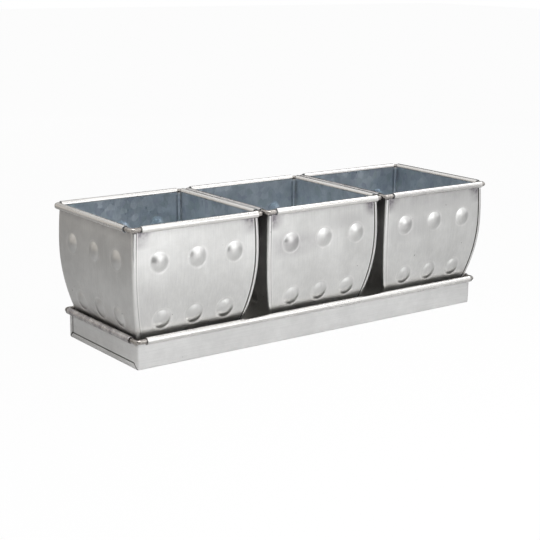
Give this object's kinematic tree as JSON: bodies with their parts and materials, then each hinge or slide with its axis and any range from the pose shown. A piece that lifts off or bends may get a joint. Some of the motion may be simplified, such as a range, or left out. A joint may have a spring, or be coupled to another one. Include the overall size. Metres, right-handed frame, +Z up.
{
  "type": "planter",
  "caption": "Row of square sheet-metal plant pots with curved, domed walls and rolled wire rims, standing in a long shallow tray that they lift out of.",
  "frame": {"origin": "middle of the tray's underside, on the surface that the tray stands on", "axes": "+X along the tray to the right-hand pot, +Y to the back, +Z up"},
  "size_m": [0.3966, 0.1308, 0.1203],
  "materials": {
    "galvanised_strip": "galvanised sheet, pale and lightly brushed, dull sheen",
    "galvanised_panel": "galvanised sheet, pale and lightly brushed, dull sheen",
    "galvanised_tray": "galvanised sheet, pale, mottled, dull sheen",
    "rim_wire": "zinc-coated round wire, smooth, dull sheen"
  },
  "bodies": {
    "tray": {"tray_pan": "galvanised_tray", "tray_end_left": "galvanised_tray", "tray_end_right": "galvanised_tray", "tray_rim_wire": "rim_wire"},
    "left_pot": {"left_pot_side_strip": "galvanised_strip", "left_pot_front_panel": "galvanised_panel", "left_pot_back_panel": "galvanised_panel", "left_pot_rim_wire": "rim_wire"},
    "middle_pot": {"middle_pot_side_strip": "galvanised_strip", "middle_pot_front_panel": "galvanised_panel", "middle_pot_back_panel": "galvanised_panel", "middle_pot_rim_wire": "rim_wire"},
    "right_pot": {"right_pot_side_strip": "galvanised_strip", "right_pot_front_panel": "galvanised_panel", "right_pot_back_panel": "galvanised_panel", "right_pot_rim_wire": "rim_wire"}
  },
  "joints": [
    {"name": "left_pot_lift", "type": "slide", "parent": "tray", "child": "left_pot", "axis": [0, 0, 1], "range_m": [0, 0.15]},
    {"name": "middle_pot_lift", "type": "slide", "parent": "tray", "child": "middle_pot", "axis": [0, 0, 1], "range_m": [0, 0.15]},
    {"name": "right_pot_lift", "type": "slide", "parent": "tray", "child": "right_pot", "axis": [0, 0, 1], "range_m": [0, 0.15]}
  ]
}
